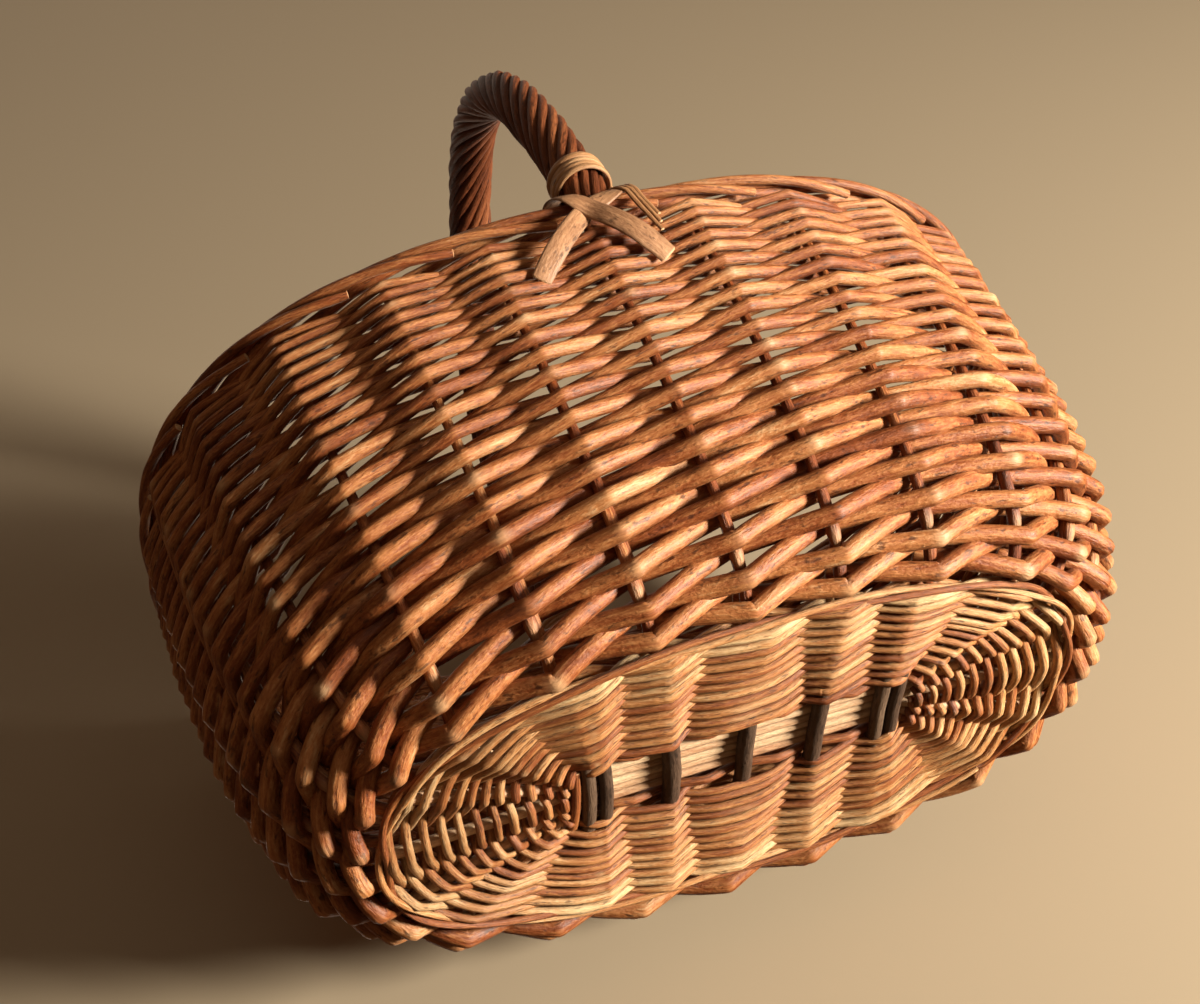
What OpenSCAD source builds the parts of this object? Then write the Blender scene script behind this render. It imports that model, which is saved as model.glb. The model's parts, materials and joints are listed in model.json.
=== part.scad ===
// Oval willow basket with a fixed roped handle across its middle.
// Origin: centre of the underside. +Z runs up to the handle, +X along the basket.

/* [Base] */
// Length of the woven base
base_length = 308; // [280:1:330]
// Width of the woven base
base_width = 160; // [150:1:180]
// Thickness of the woven base
base_thick = 18; // [18:0.5:20]
// How far the crown of the base lifts the sticks
crown = 3; // [0:0.5:3]
// Number of short sticks across the base
short_count = 7; // [7]
// Diameter of a single short stick
short_d = 7.6; // [6:0.2:7.6]
// Distance between neighbouring single short sticks
short_pitch = 33; // [28:1:34]
// Diameter of the sticks in an end pair
pair_d = 6.4; // [5:0.2:6.6]
// Distance between the two sticks of an end pair
pair_pitch = 7.4; // [7:0.2:9]
// How far the sticks sit towards +X from the middle of the base
stick_offset = 4; // [0:0.5:5]
// Number of long sticks in the middle bundle
long_count = 5; // [3:2:5]
// Diameter of a long stick
long_d = 5.6; // [4:0.2:5.6]

/* [Wall] */
// Outside length of the wall's centre surface at the rim
rim_length = 408; // [390:1:430]
// Outside width of the wall's centre surface at the rim
rim_width = 290; // [275:1:310]
// Height of the centre of the rolled border
rim_height = 194; // [180:1:210]
// How far the wall belly reaches out past the base edge
belly = 49; // [44:1:52]
// Squareness of the oval, where 2 is an ellipse
squareness = 2.5; // [2.2:0.1:2.8]
// Number of upright stakes round the wall
stake_count = 26; // [26]
// Diameter of a stake
stake_d = 4.8; // [4:0.2:5]
// Thickness of the woven layer on each side of the stakes
layer_thick = 4.4; // [3:0.2:5]
// Number of siding bands above the upsett
siding_bands = 4; // [4]
// Width across the rolled border
border_d = 16; // [13:1:18]

/* [Handle] */
// Height of the handle bow above the border
bow_height = 176; // [150:1:200]
// Squareness of the bow, where 2 is an ellipse
bow_squareness = 2.9; // [2:0.1:3]
// Distance of the front foot from the basket's middle along X
front_foot_x = 7; // [-8:1:8]
// The same for the rear foot
rear_foot_x = 1; // [-8:1:8]
// Diameter of the bow's core rod
core_d = 12; // [11:0.5:12]
// Number of roping strands wound round the core
strand_count = 12; // [10:1:12]
// Diameter of a roping strand
strand_d = 4; // [3.2:0.2:4]
// Length of handle taken by one full turn of the roping
rope_lead = 150; // [140:5:260]
// Height of the bound collar at each foot
collar_h = 16; // [12:1:20]
// Width of a flat cross band
band_w = 9; // [7:0.5:11]

/* [Hidden] */
ring_steps = 40;            // points round a wall ring
clear = 0.3;                // gap between neighbouring pieces
base_a = base_length / 2;
base_b = base_width / 2;
rim_a = rim_length / 2;
rim_b = rim_width / 2;
foot_z = 9;                 // height of the wall's centre surface at the base edge
layer_in = stake_d / 2 + 0.2;
layer_out = layer_in + layer_thick;
border_top = rim_height + border_d / 2;

short_z = crown + 1 + short_d / 2;
long_z = crown + 1.1 + short_d + long_d / 2;     // the bundle lies on the short sticks
slot_half_w = long_count * long_d / 2 + 1;
slot_half_l = 2 * short_pitch + pair_pitch / 2 + pair_d / 2 + 4;
fan_step = 22;              // angle between neighbouring long sticks past the bundle
tip_taper = 0.4;            // how much thinner a long stick is past the bundle

// Wall levels, from 0 at the base edge to 1 at the border's centre
upsett_top = 0.30;
siding_top = 0.972;
stake_top = 0.978;
level_gap = 0.0015;
function band_level(k) =
    upsett_top + (siding_top - upsett_top) * k / siding_bands;

column_pitch_base = 40;     // stake spacing along the long sides, at the base
column_pitch_rim = 46;      // the same at the rim
side_columns = 3;           // stakes on each side of the middle one
end_columns = 6;            // further stakes round each end
end_bias = 1.2;             // gathers the end stakes towards the tip

collar_z = border_top + 7;
strand_r = core_d / 2 + strand_d / 2 + 0.8;

straw = "BurlyWood";
red_willow = "Chocolate";
dark_willow = "SaddleBrown";
bark = "DimGray";

// ---------------------------------------------------------------- geometry
function power(v, p) = sign(v) * pow(abs(v), p);
function oval(a, b, t) =
    [a * power(cos(t), 2 / squareness), b * power(sin(t), 2 / squareness)];

// The wall's profile is one quadratic curve that leaves the base edge flat
function reach(from, to, m) = from + 2 * belly * m + (to - from - 2 * belly) * m * m;
function reach_slope(from, to, m) = 2 * belly + 2 * (to - from - 2 * belly) * m;
function rise(m) = foot_z + (rim_height - foot_z) * m * m;
function rise_slope(m) = 2 * (rim_height - foot_z) * m;
function wall_out(from, to, m) =
    let (dx = reach_slope(from, to, m), dz = rise_slope(m)) dz / norm([dx, dz]);
function wall_down(m) =
    let (dx = reach_slope((base_a + base_b) / 2, (rim_a + rim_b) / 2, m), dz = rise_slope(m))
    dx / norm([dx, dz]);
function ring_a(m, o) = reach(base_a, rim_a, m) + o * wall_out(base_a, rim_a, m);
function ring_b(m, o) = reach(base_b, rim_b, m) + o * wall_out(base_b, rim_b, m);
function ring_z(m, o) = rise(m) - o * wall_down(m);
function wall_point(m, o, t) =
    let (p = oval(ring_a(m, o), ring_b(m, o), t)) [p.x, p.y, ring_z(m, o)];

// Angle of the oval at a given distance along X
function angle_at(x, a) = acos(pow(abs(x) / a, squareness / 2));

// Angle of stake i at level m: even columns on the sides, a fan round each end
function column_x(m) = column_pitch_base + (column_pitch_rim - column_pitch_base) * m;
function corner_angle(m) = angle_at(side_columns * column_x(m), ring_a(m, 0));
function end_angle(j, m) =
    corner_angle(m) * power(2 * j / (end_columns + 1) - 1, end_bias);
function side_angle(k, m) =
    k >= 0 ? angle_at(k * column_x(m), ring_a(m, 0))
           : 180 - angle_at(k * column_x(m), ring_a(m, 0));
side_total = 2 * side_columns + 1;
function stake_angle(i, m) =
    i < side_total ? side_angle(side_columns - i, m)
    : i < side_total + end_columns ? 180 - end_angle(end_columns - (i - side_total), m)
    : i < 2 * side_total + end_columns ? -side_angle(i - 2 * side_total - end_columns + side_columns + 1, m)
    : end_angle(i - 2 * side_total - end_columns + 1, m);

// A closed ring: the loop of [level, offset] pairs is carried round the oval
module wall_ring(loop, steps = ring_steps) {
    count = len(loop);
    points = [for (s = [0:steps - 1], q = loop) wall_point(q[0], q[1], 360 * s / steps)];
    faces = [for (s = [0:steps - 1], j = [0:count - 1])
        let (s2 = (s + 1) % steps, j2 = (j + 1) % count)
        [s * count + j, s * count + j2, s2 * count + j2, s2 * count + j]];
    polyhedron(points, [for (f = faces) each [[f[0], f[1], f[2]], [f[0], f[2], f[3]]]], 4);
}

// A bar swept along a path: sections is a list of equal rings of points
module swept(sections) {
    rings = len(sections);
    count = len(sections[0]);
    points = [for (ring = sections) each ring];
    sides = [for (r = [0:rings - 2], j = [0:count - 1])
        let (j2 = (j + 1) % count, a = r * count, b = (r + 1) * count)
        each [[a + j, a + j2, b + j2], [a + j, b + j2, b + j]]];
    first = [for (j = [count - 1:-1:0]) j];
    last = [for (j = [0:count - 1]) (rings - 1) * count + j];
    polyhedron(points, concat(sides, [first, last]), 4);
}

function unit(v) = v / norm(v);
function path_dir(path, i) =
    unit(path[min(i + 1, len(path) - 1)] - path[max(i - 1, 0)]);
// A ring of points round path point i, with one axis across the given side vector
function section(path, i, side, half_u, half_v, sides) =
    let (d = path_dir(path, i), u = unit(cross(side, d)), v = cross(d, u))
    [for (j = [0:sides - 1])
        let (t = 360 * (j + 0.5) / sides, k = 1 / cos(180 / sides))
        path[i] + u * half_u * k * cos(t) + v * half_v * k * sin(t)];

// ---------------------------------------------------------------- base
// Short sticks: single ones about the middle, and a close pair at each end
function is_single(i) = abs(i - (short_count - 1) / 2) <= (short_count - 5) / 2;
function short_x(i) =
    let (k = i - (short_count - 1) / 2, edge = (short_count - 3) / 2)
    stick_offset + (is_single(i) ? k * short_pitch
    : sign(k) * (edge * short_pitch + (abs(k) > edge ? pair_pitch / 2 : -pair_pitch / 2)));
function half_chord(x, a, b) = b * pow(1 - pow(abs(x) / a, squareness), 1 / squareness);

module short_rod(i, extra = 0) {
    x = short_x(i);
    half = half_chord(x, base_a, base_b) - 5 + extra;
    translate([x, 0, short_z])
        rotate([90, 0, 0])
            cylinder(d = (is_single(i) ? short_d : pair_d) + extra / 4,
                h = 2 * half, center = true, $fn = 32);
}

function long_y(i) = (i - (long_count - 1) / 2) * long_d;
module long_rod(i, extra = 0, taper = 0) {
    k = i - (long_count - 1) / 2;
    d = long_d - 0.05 + extra / 4;
    bend = slot_half_l - 2;
    tip = base_a - bend - 8 - 3 * abs(k) + extra;
    translate([stick_offset, long_y(i), long_z]) {
        rotate([0, 90, 0])
            cylinder(d = d, h = 2 * bend, center = true, $fn = 24);
        for (s = [-1, 1])
            translate([s * bend, 0, 0]) {
                sphere(d = d, $fn = 24);
                rotate([0, 90, s > 0 ? k * fan_step : 180 - k * fan_step])
                    cylinder(d = d - taper, h = tip - s * stick_offset, $fn = 24);
            }
    }
}

module short_stick(i) {
    color(bark) short_rod(i);
}

module long_stick(i) {
    color(straw) long_rod(i, taper = tip_taper);
}

module base_weave() {
    color(red_willow)
    difference() {
        linear_extrude(base_thick)
            difference() {
                polygon([for (s = [0:ring_steps - 1])
                    oval(base_a - clear, base_b - clear, 360 * s / ring_steps)]);
                translate([stick_offset, 0])
                    square([2 * slot_half_l, 2 * slot_half_w], center = true);
            }
        for (i = [0:short_count - 1]) short_rod(i, 0.4);
        for (i = [0:long_count - 1]) long_rod(i, 0.4);
    }
}

// Thin rod that finishes the edge of the base, just under the wall's fold
module base_edge_rod() {
    color(straw)
    wall_ring([for (j = [0:5])
        [0.006 + 0.005 * cos(60 * j), layer_out + 1.0 + 0.9 * sin(60 * j)]]);
}

// ---------------------------------------------------------------- wall
// Two woven layers, outside and inside the stakes, between two levels
module woven_band(low, high) {
    mid = (low + high) / 2;
    for (o = [[layer_in, layer_out], [-layer_out, -layer_in]])
        wall_ring([[low, o[1]], [mid, o[1]], [high, o[1]], [high, o[0]], [mid, o[0]], [low, o[0]]]);
}

module upsett() {
    color(red_willow) woven_band(0, upsett_top - level_gap);
}

module siding_band(k) {
    color(k % 2 == 1 ? "Peru" : red_willow)
        woven_band(band_level(k - 1) + level_gap, band_level(k) - level_gap);
}

module stake(i) {
    steps = 7;
    path = [for (s = [0:steps])
        let (m = 0.02 + (stake_top - 0.02) * s / steps) wall_point(m, 0, stake_angle(i, m))];
    out = unit([path[steps].x / rim_a, path[steps].y / rim_b, 0]);
    side = cross(out, [0, 0, 1]);
    color(dark_willow)
        swept([for (s = [0:steps]) section(path, s, side, stake_d / 2.2, stake_d / 2.2, 8)]);
}

module border() {
    r = border_d / 2;
    k = 1 / cos(22.5);
    points = [for (s = [0:ring_steps - 1], j = [0:7])
        let (
            t = 45 * j + 22.5,
            p = oval(rim_a + r * k * cos(t), rim_b + r * k * cos(t), 360 * s / ring_steps)
        )
        [p.x, p.y, rim_height + r * k * sin(t)]];
    faces = [for (s = [0:ring_steps - 1], j = [0:7])
        let (s2 = (s + 1) % ring_steps, j2 = (j + 1) % 8)
        each [[s * 8 + j, s * 8 + j2, s2 * 8 + j2], [s * 8 + j, s2 * 8 + j2, s2 * 8 + j]]];
    color(red_willow) polyhedron(points, faces, 4);
}

// ---------------------------------------------------------------- handle
// The bow from its front foot at f = 0 to its rear foot at f = 1
function foot_x(side) = side < 0 ? front_foot_x : rear_foot_x;
function bow_point(f) =
    let (t = 180 * f, across = power(cos(t), 2 / bow_squareness))
    [(front_foot_x + rear_foot_x) / 2 + (front_foot_x - rear_foot_x) / 2 * across,
     -rim_b * across,
     border_top + bow_height * pow(abs(sin(t)), 2 / bow_squareness)];
bow_steps = 32;
function ease(f) = f - sin(360 * f) / (2 * PI) * 0.35;
bow = [for (s = [0:bow_steps]) bow_point(ease(s / bow_steps))];
bow_run = [for (s = 0, run = 0; s <= bow_steps;
    s = s + 1, run = s <= bow_steps ? run + norm(bow[s] - bow[s - 1]) : run) run];

module handle_core() {
    color(dark_willow)
        swept([for (s = [0:bow_steps]) section(bow, s, [1, 0, 0], core_d / 2, core_d / 2, 10)]);
}

module handle_roping() {
    start = 1;
    color(dark_willow)
        for (n = [0:strand_count - 1]) {
            path = [for (s = [start:bow_steps - start])
                let (
                    d = path_dir(bow, s), u = unit(cross([1, 0, 0], d)),
                    t = 360 * (n / strand_count - bow_run[s] / rope_lead)
                )
                bow[s] + strand_r * (u * cos(t) + [1, 0, 0] * sin(t))];
            swept([for (s = [0:len(path) - 1])
                section(path, s, [1, 0, 0], strand_d / 2.5, strand_d / 2.5, 5)]);
        }
}

module collar(side) {
    inner = strand_r + strand_d / 2 + clear;
    color(straw)
        translate([foot_x(side), side * rim_b, collar_z])
            difference() {
                cylinder(r = inner + 2.4, h = collar_h, $fn = 48);
                translate([0, 0, -1]) cylinder(r = inner, h = collar_h + 2, $fn = 48);
            }
}

// Flat split rod that runs up the wall, crosses the border's outer side in front of
// the handle's foot and goes over the border beside it. Each station of the route is
// [distance along X, height below the border or angle round it].
module cross_band(side, lean) {
    lift = border_d / 2 + (lean > 0 ? 1.4 : 3.2);
    tail = [[30, -26], [25, -20], [20.5, -13]];
    climb = [[15, -30], [10, -10], [5, 12], [0, 34], [-5, 56], [-9, 78], [-12, 100]];
    stations = concat(
        [for (q = tail) [[foot_x(side) + lean * q.x, side * (rim_b + lift), rim_height + q.y], [0, side, 0]]],
        [for (q = climb)
            [[foot_x(side) + lean * q.x, side * (rim_b + lift * cos(q.y)), rim_height + lift * sin(q.y)],
             [0, side * cos(q.y), sin(q.y)]]]);
    path = [for (q = stations) q[0]];
    half_thick = 0.8;
    color("Tan")
        swept([for (s = [0:len(path) - 1])
            let (d = path_dir(path, s), out = unit(stations[s][1] - d * (d * stations[s][1])),
                 across = cross(d, out) * band_w / 2)
            [path[s] + out * half_thick + across, path[s] - out * half_thick + across,
             path[s] - out * half_thick - across, path[s] + out * half_thick - across]]);
}

// ---------------------------------------------------------------- assembly
for (i = [1:short_count])
    short_stick(i - 1);
for (i = [1:long_count])
    long_stick(i - 1);
base_weave();
base_edge_rod();
upsett();
for (k = [1:siding_bands])
    siding_band(k);
for (i = [1:stake_count])
    stake(i - 1);
border();
handle_core();
handle_roping();
collar(-1);  // collar_front
collar(1);  // collar_rear
cross_band(-1, -1);  // cross_band_front_left
cross_band(-1, 1);  // cross_band_front_right
cross_band(1, -1);  // cross_band_rear_left
cross_band(1, 1);  // cross_band_rear_right
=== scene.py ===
"""Oval willow basket with a roped handle, lying on one long side.

The base is woven by pairing and the wall by French randing. Every rod is a swept tube
with its own taper, kinks and colour. Lengths are in millimetres until a mesh is made,
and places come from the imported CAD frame.
"""
import json
import math

import bpy
import numpy as np
from mathutils import Matrix, Vector

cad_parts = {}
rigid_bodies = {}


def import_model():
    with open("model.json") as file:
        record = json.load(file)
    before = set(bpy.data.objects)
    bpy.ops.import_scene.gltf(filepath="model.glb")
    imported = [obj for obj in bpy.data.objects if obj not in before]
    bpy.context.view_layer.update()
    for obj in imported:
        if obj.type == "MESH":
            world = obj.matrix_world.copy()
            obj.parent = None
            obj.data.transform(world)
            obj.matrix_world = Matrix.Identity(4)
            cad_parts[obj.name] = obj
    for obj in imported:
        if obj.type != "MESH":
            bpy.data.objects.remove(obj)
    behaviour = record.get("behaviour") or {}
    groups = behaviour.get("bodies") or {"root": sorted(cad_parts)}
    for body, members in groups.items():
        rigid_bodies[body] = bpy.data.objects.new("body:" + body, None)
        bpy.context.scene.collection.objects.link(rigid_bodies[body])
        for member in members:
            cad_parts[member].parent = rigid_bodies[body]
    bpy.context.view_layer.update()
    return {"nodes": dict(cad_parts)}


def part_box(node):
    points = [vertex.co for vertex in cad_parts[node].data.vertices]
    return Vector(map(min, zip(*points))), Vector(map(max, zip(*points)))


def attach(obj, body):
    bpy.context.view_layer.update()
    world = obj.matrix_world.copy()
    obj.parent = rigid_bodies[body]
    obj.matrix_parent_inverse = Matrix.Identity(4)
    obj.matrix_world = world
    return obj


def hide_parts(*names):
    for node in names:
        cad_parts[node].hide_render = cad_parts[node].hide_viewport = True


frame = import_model()

MM = 0.001
rng = np.random.default_rng(26)


# ------------------------------------------------------------------ sizes from the frame
def box_mm(node):
    low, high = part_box(node)
    return np.array(low) / MM, np.array(high) / MM


EDGE_GAP = 0.3
BASE_A = box_mm("base_weave")[1][0] + EDGE_GAP
BASE_B = box_mm("base_weave")[1][1] + EDGE_GAP
BORDER_LOW, BORDER_HIGH = box_mm("border")
BORDER_R = (BORDER_HIGH[2] - BORDER_LOW[2]) / 2
RIM_A = BORDER_HIGH[0] - BORDER_R
RIM_B = BORDER_HIGH[1] - BORDER_R
RIM_Z = BORDER_HIGH[2] - BORDER_R
HANDLE_TOP = box_mm("handle_core")[1][2]

# ------------------------------------------------------------------ driving sizes
SQUARENESS = 2.5        # of the oval; 2 is an ellipse
BELLY = 49.0            # reach of the wall's curve past the base edge
FOOT_Z = 9.0            # height of the wall's centre surface at the base edge
STAKES = 26
SIDE_COLUMNS = 3        # stakes each side of the middle one on a long side
END_COLUMNS = 6
END_BIAS = 1.2
PITCH_BASE = 40.0       # stake spacing on the long sides, at the base and at the rim
PITCH_RIM = 46.0
STAKE_D = 5.2
FIRST_ROWS = (8.5, 19.0)        # run up the wall to the first two rows
PITCH_LOW = 14.4        # row spacing above them, shrinking evenly to the rim
PITCH_HIGH = 6.3
ROW_COUNT = 19
UPSETT_ROWS = 3
ROD_D_LOW = 8.1         # siding rods at the foot of the wall, and their tips at the rim
ROD_D_HIGH = 4.0
TIGHT = 1.05            # reach of a siding rod past a stake, 1 where it just touches
TIGHT_RISE = 0.28       # added to it at the rim
LIFT = 0.3              # how much higher than its row a rod rides in front of a stake
LIFT_RISE = 1.5         # added to it at the rim
STEPS = 14              # path samples from one stake to the next
SIDES = 10              # corners round a rod
BEND = 0.018            # how gently a rod bends over a stake, as a share of the spacing
TUCK = 3.0              # how far a siding rod's ends go in behind their neighbours
SCUFF = 0.75            # most bare wood where a rod passes in front of an upright


# ------------------------------------------------------------------ wall surface
def signed_power(v, p):
    return np.sign(v) * np.abs(v) ** p


def oval(a, b, t, n=SQUARENESS):
    return a * signed_power(np.cos(t), 2 / n), b * signed_power(np.sin(t), 2 / n)


def reach(start, end, m):
    return start + 2 * BELLY * m + (end - start - 2 * BELLY) * m * m


def rise(m):
    return FOOT_Z + (RIM_Z - FOOT_Z) * m * m


def stake_angle(u, m):
    """Angle round the oval of stake position u (0 to STAKES) at wall level m."""
    a = reach(BASE_A, RIM_A, m)
    pitch = PITCH_BASE + (PITCH_RIM - PITCH_BASE) * m
    corner = np.arccos((SIDE_COLUMNS * pitch / a) ** (SQUARENESS / 2))
    u = np.mod(u, STAKES)
    side = 2 * SIDE_COLUMNS
    half = STAKES // 2

    def across(k):
        return np.arccos(np.clip(signed_power(k * pitch / a, SQUARENESS / 2), -1, 1))

    def round_end(w):
        return corner * signed_power(w, END_BIAS)

    back = across(SIDE_COLUMNS - u)
    left = math.pi - round_end(2 * (half - u) / (END_COLUMNS + 1) - 1)
    front = -across(u - half - SIDE_COLUMNS)
    right = round_end(2 * (u - half - side) / (END_COLUMNS + 1) - 1)
    return np.where(u <= side, back,
                    np.where(u < half, left, np.where(u <= half + side, front, right)))


def wall_centre(u, m):
    u, m = np.broadcast_arrays(np.asarray(u, float), np.asarray(m, float))
    x, y = oval(reach(BASE_A, RIM_A, m), reach(BASE_B, RIM_B, m), stake_angle(u, m))
    return np.stack([x, y, rise(m)], axis=-1)


def unit(v):
    return v / np.maximum(np.linalg.norm(v, axis=-1, keepdims=True), 1e-9)


def wall_frame(u, m):
    """Point, outward normal and upward direction of the wall's centre surface."""
    u, m = np.broadcast_arrays(np.asarray(u, float), np.asarray(m, float))
    du, dm = 0.03, 0.004
    along = unit(wall_centre(u + du, m) - wall_centre(u - du, m))
    up = unit(wall_centre(u, m + dm) - wall_centre(u, np.maximum(m - dm, 0.0)))
    out = unit(np.cross(along, up))
    return wall_centre(u, m), out, unit(np.cross(out, along))


def level_table():
    """Wall level for a distance run up the wall from the base edge."""
    m = np.linspace(0, 1, 400)
    r = (reach(BASE_A, RIM_A, m) + reach(BASE_B, RIM_B, m)) / 2
    run = np.concatenate([[0], np.cumsum(np.hypot(np.diff(r), np.diff(rise(m))))])
    return run, m


RUN, LEVEL = level_table()


def level_at(run):
    return np.interp(run, RUN, LEVEL)


# ------------------------------------------------------------------ rods
class Rods:
    """Collects swept rods and makes one mesh of them."""

    def __init__(self):
        self.points = []
        self.faces = []
        self.grain = []
        self.rod = []
        self.count = 0

    def _add(self, points, faces, grain, rod):
        self.points.append(points)
        self.faces.extend((faces + self.count).tolist())
        self.grain.append(grain)
        self.rod.append(rod)
        self.count += len(points)

    def sweep(self, path, radius, ref, tint, flat=1.0, sides=SIDES, shade=1.0, worn=0.0,
              closed=False, cut=1.0):
        """A tube of the given radius along path; ref is a vector off its side at each point.
        flat squeezes the tube along ref. shade, 0 to 1, darkens the rod along its length: painted
        shade on the base rods, a darker bark tone on the stakes. The sides of the rod square to ref,
        where it meets its neighbours, always get painted shade as well. worn, 0 to 1, is bare wood on
        the side that ref points to, and cut, 0 to 1, is how pale the ends are."""
        n = len(path)
        radius = np.broadcast_to(np.asarray(radius, float), n).copy()
        flat = np.broadcast_to(np.asarray(flat, float), n)
        shade = np.broadcast_to(np.asarray(shade, float), n)
        worn = np.broadcast_to(np.asarray(worn, float), n)
        if closed:
            tangent = unit(np.roll(path, -1, 0) - np.roll(path, 1, 0))
        else:
            tangent = unit(np.gradient(path, axis=0))
        side = unit(np.cross(tangent, ref))
        up = np.cross(side, tangent)
        step = np.linalg.norm(np.diff(path, axis=0), axis=1)
        run = np.concatenate([[0], np.cumsum(step)]) + rng.uniform(0, 900)
        angle = np.arange(sides) * 2 * math.pi / sides
        c, s = np.cos(angle), np.sin(angle)
        ring = (path[:, None] + (radius * flat)[:, None, None] * c[None, :, None] * up[:, None]
                + radius[:, None, None] * s[None, :, None] * side[:, None])
        points = ring.reshape(-1, 3)
        grain = np.stack([np.repeat(run, sides), np.tile(c * 3, n), np.tile(s * 3, n)], -1)
        # Painted shade: the sides of the rod square to ref, where it meets its neighbours, are
        # darker; the faces along ref stay light.
        crown = 0.3 + 0.7 * np.abs(c)
        bare = worn[:, None] * np.clip(c * 1.6 - 0.4, 0, 1)[None]
        rod = np.stack([np.full(n * sides, tint), (shade[:, None] * crown[None]).ravel(),
                        bare.ravel(), np.ones(n * sides)], -1)
        i = np.arange(n if closed else n - 1)[:, None] * sides
        j = np.arange(sides)[None, :]
        j2 = (j + 1) % sides
        i2 = (i + sides) % (n * sides)
        faces = np.stack([i + j, i + j2, i2 + j2, i2 + j], -1).reshape(-1, 4)
        self._add(points, faces, grain, rod)
        if not closed:
            self._cap(ring[0], -tangent[0], radius[0], run[0], tint, True, cut)
            self._cap(ring[-1], tangent[-1], radius[-1], run[-1], tint, False, cut)

    def _cap(self, ring, out, radius, run, tint, flip, pale):
        """A cut end: a small bevel and a flat pale face."""
        sides = len(ring)
        middle = ring.mean(0)
        lip = middle + (ring - middle) * 0.82 + out * radius * 0.18
        points = np.concatenate([ring, lip, (middle + out * radius * 0.2)[None]])
        j = np.arange(sides)
        j2 = (j + 1) % sides
        quads = np.stack([j, j2, j2 + sides, j + sides], -1)
        centre = np.full(sides, 2 * sides)
        fan = np.stack([j + sides, j2 + sides, centre, centre], -1)
        if flip:
            quads = quads[:, ::-1]
            fan = np.stack([j2 + sides, j + sides, centre, centre], -1)
        grain = np.concatenate([np.full((len(points), 1), run), (points - middle)[:, :2] * 1.5], 1)
        cut = pale * np.concatenate([np.zeros(sides), np.ones(sides + 1)])
        rod = np.stack([np.full(len(points), tint), np.ones(len(points)), cut,
                        np.ones(len(points))], -1)
        self.points.append(points)
        self.faces.extend((quads + self.count).tolist())
        self.faces.extend((fan[:, :3] + self.count).tolist())
        self.grain.append(grain)
        self.rod.append(rod)
        self.count += len(points)

    def build(self, name, material):
        mesh = bpy.data.meshes.new(name)
        mesh.from_pydata((np.concatenate(self.points) * MM).tolist(), [], self.faces)
        mesh.attributes.new("grain", "FLOAT_VECTOR", "POINT").data.foreach_set(
            "vector", (np.concatenate(self.grain) * MM).ravel())
        mesh.attributes.new("rod", "FLOAT_COLOR", "POINT").data.foreach_set(
            "color", np.concatenate(self.rod).ravel())
        mesh.materials.append(material)
        mesh.shade_smooth()
        mesh.update()
        piece = bpy.data.objects.new(name, mesh)
        bpy.context.scene.collection.objects.link(piece)
        return piece


def smooth_noise(count, spacing, size):
    """Random offsets that change slowly along a rod: count samples, one knot per spacing."""
    knots = rng.normal(0, size, max(4, int(count / spacing) + 3))
    return np.interp(np.arange(count) / spacing, np.arange(len(knots)), knots)


def knuckles(count, every, size):
    """Small swellings along a rod where side shoots were trimmed off."""
    swell = np.zeros(count)
    at = rng.uniform(0, every)
    while at < count:
        swell += size * rng.uniform(0.4, 1.0) * np.exp(-((np.arange(count) - at) / 1.1) ** 2)
        at += every * rng.uniform(0.5, 1.5)
    return swell


# ------------------------------------------------------------------ in and out of the uprights
def zigzag(x, wide=0.0, bend=BEND):
    """Triangle wave, 1 at even x and -1 at odd x, with rounded corners wide units flat."""
    x = np.abs(np.mod(x + 1, 2) - 1)
    x = np.clip((x - wide) / (1 - 2 * wide), 0, 1)
    a = np.sqrt(x * x + bend * bend)
    b = np.sqrt((1 - x) ** 2 + bend * bend)
    return (b - a) / (math.sqrt(1 + bend * bend) - bend)


def path_samples(begin, spaces, steps):
    """Positions along a rod, closer together at the uprights, where it bends."""
    f = np.arange(spaces * steps + 1) / steps
    whole = np.floor(f)
    return begin + whole + (1 - np.cos(math.pi * (f - whole))) / 2


def crossings(u, start, size, width=0.05):
    """A bump of random height at each upright that a rod passes in front of."""
    x = np.mod(u - start + 1, 2) - 1
    lap = np.floor((u - start + 1) / 2).astype(int)
    heights = size * rng.random(lap.max() - lap.min() + 1) ** 3
    return heights[lap - lap.min()] * np.exp(-(x / width) ** 2)


def row_runs():
    """Run up the wall from the base edge to the middle of each row."""
    upper = ROW_COUNT - len(FIRST_ROWS)
    pitch = np.linspace(PITCH_LOW, PITCH_HIGH, upper)
    return np.concatenate([FIRST_ROWS, FIRST_ROWS[-1] + np.cumsum(pitch)])


ROW_RUN = row_runs()
ROW_D = np.interp(np.arange(ROW_COUNT), [0, UPSETT_ROWS, ROW_COUNT - 1],
                  [ROD_D_LOW, ROD_D_LOW - 0.2, ROD_D_HIGH])


# The colour of one rod: 0 is the darkest bark and 1 the palest wood.
def warm_tint():
    return float(np.clip(rng.normal(0.47, 0.06), 0.1, 0.9))


def dark_tint():
    return float(np.clip(rng.normal(0.22, 0.12), 0.0, 0.6))


def pale_tint():
    return float(np.clip(rng.normal(0.78, 0.12), 0.5, 1.0))


def base_tint():
    return float(np.clip(rng.normal(0.5, 0.16), 0.1, 1))


# ------------------------------------------------------------------ French randing
def climb(step):
    """Row of a siding rod: it gains one row from each stake it passes in front of to the
    next, which it passes behind, and stays level up to the one after."""
    pair = np.floor(step / 2)
    return np.clip(pair + np.clip(step - 2 * pair, 0, 1), 0, ROW_COUNT - 1)


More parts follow.
